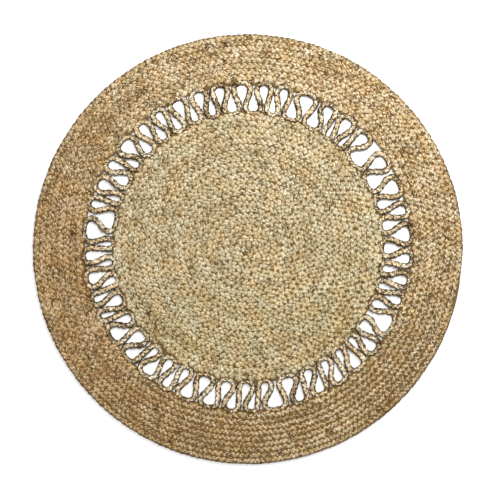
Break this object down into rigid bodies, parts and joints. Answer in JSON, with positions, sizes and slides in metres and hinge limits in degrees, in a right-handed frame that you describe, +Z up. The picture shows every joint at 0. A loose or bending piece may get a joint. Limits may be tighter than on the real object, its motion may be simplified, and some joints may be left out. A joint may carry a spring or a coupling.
{
  "type": "round braided jute rug",
  "caption": "Flat round rug of coiled jute braid with a ring of open braid loops between its centre and its border.",
  "frame": {"origin": "middle of the rug's underside, on the floor", "axes": "+Z up, out of the rug's upper side, through its thickness; +Y towards the top of the picture"},
  "size_m": [1.2, 1.2, 0.009],
  "materials": {
    "centre_jute": "coarse three-strand jute braid, pale straw, matte",
    "loop_jute": "coarse three-strand jute braid, greyish straw with dark flecks, matte",
    "border_jute": "coarse three-strand jute braid, golden brown with red-brown flecks, matte"
  },
  "bodies": {
    "root": {"centre_disc": "centre_jute", "loop_braid": "loop_jute", "outer_band": "border_jute"}
  },
  "joints": []
}
